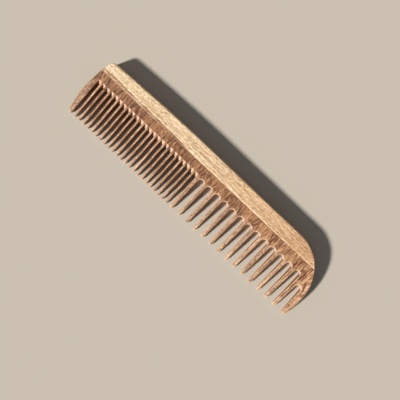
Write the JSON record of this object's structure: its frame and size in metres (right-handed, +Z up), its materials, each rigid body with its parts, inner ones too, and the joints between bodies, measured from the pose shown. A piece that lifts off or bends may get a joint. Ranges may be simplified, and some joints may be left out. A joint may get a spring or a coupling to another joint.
{
  "type": "wide tooth comb",
  "caption": "Flat wooden comb for detangling and styling hair, with fine teeth on one half, wide round-rooted teeth on the other, and a rounded end.",
  "frame": {"origin": "centre of the bounding box on the surface that the comb lies on", "axes": "+X along the comb from the fine end to the rounded coarse end, teeth towards -Y, +Z up; the comb lies with its lower tapered face flat on z = 0 and its back edge raised"},
  "size_m": [0.18, 0.0422, 0.0109],
  "materials": {
    "spine_beech": "pale beech, long grain, fine sanded, thin oil",
    "board_beech": "darker steamed beech, grain along the teeth, sanded, thin oil"
  },
  "bodies": {
    "root": {"spine": "spine_beech", "tooth_board": "board_beech", "fine_teeth": "board_beech", "wide_teeth": "board_beech", "fine_end_tooth": "board_beech", "tail_shoulder": "board_beech", "tail_end_tooth": "board_beech"}
  },
  "joints": []
}
